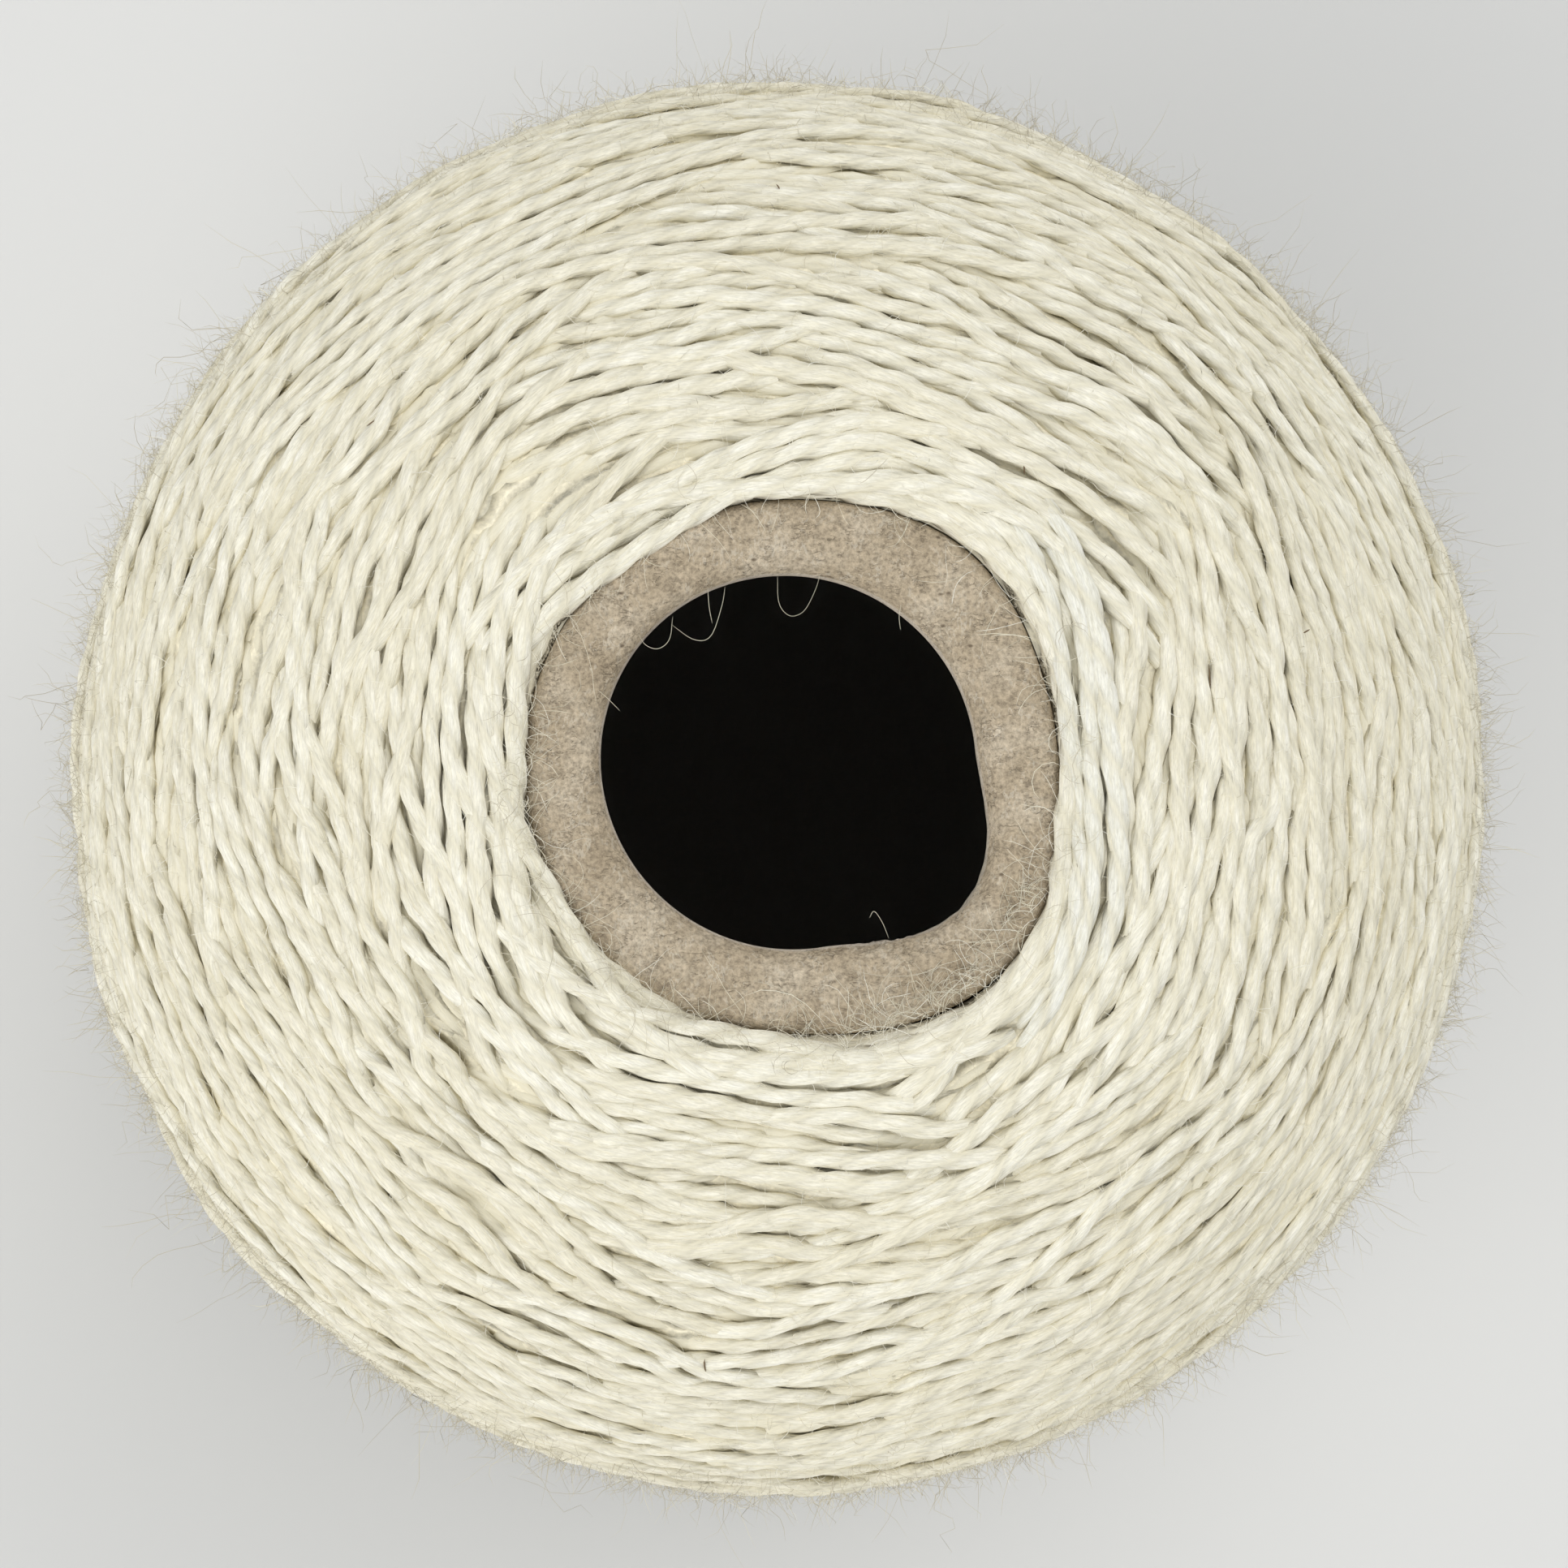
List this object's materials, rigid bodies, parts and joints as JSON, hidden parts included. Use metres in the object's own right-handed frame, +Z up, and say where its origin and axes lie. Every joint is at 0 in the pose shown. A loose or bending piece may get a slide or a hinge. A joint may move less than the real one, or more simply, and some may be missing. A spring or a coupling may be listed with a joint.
{
  "type": "cone of wool yarn",
  "caption": "Two-ply wool yarn cross-wound on a tapered cardboard cone, with a domed top end around the open nose and a bare foot to stand on.",
  "frame": {"origin": "centre of the cardboard cone's foot, on the surface that it stands on", "axes": "+Z up along the cone's axis, from the foot to the nose"},
  "size_m": [0.1228, 0.1236, 0.1705],
  "materials": {
    "cardboard": "matt recycled board, speckled, with a smooth rolled nose",
    "wool": "matt undyed cream wool, two-ply, with loose fibres"
  },
  "bodies": {
    "root": {"cardboard_cone": "cardboard", "wound_yarn": "wool"}
  },
  "joints": []
}
